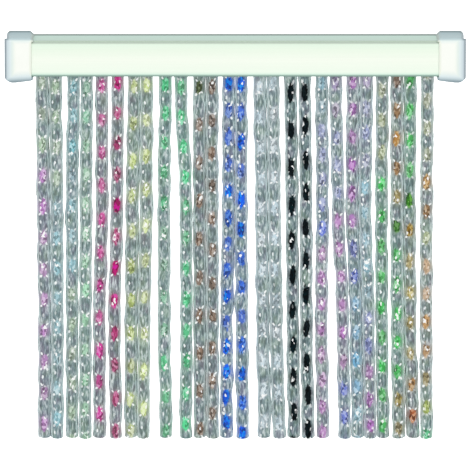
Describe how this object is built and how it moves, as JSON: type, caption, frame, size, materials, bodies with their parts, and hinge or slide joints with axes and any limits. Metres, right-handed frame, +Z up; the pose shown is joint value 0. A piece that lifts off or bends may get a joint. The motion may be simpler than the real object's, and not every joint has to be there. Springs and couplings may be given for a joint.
{
  "type": "pvc strand door curtain and its rail",
  "caption": "Door curtain of clear PVC strands with coloured foil knots, cut level, hanging from a slotted ivory rail with moulded end caps.",
  "frame": {"origin": "middle of the rail's flat back face, which lies against the wall", "axes": "+Z up, +X along the rail to the right as seen from the front, +Y into the wall, so the curtain's front faces -Y"},
  "size_m": [0.46, 0.029, 0.4285],
  "materials": {
    "rail_ivory": "satin extruded plastic",
    "cap_white": "satin moulded plastic",
    "clear_pvc": "clear grey braided strips, glossy",
    "coloured_foil": "crumpled coloured foil, glossy"
  },
  "bodies": {
    "root": {"rail": "rail_ivory", "end_cap_left": "cap_white", "end_cap_right": "cap_white", "strands": "clear_pvc"}
  },
  "joints": []
}
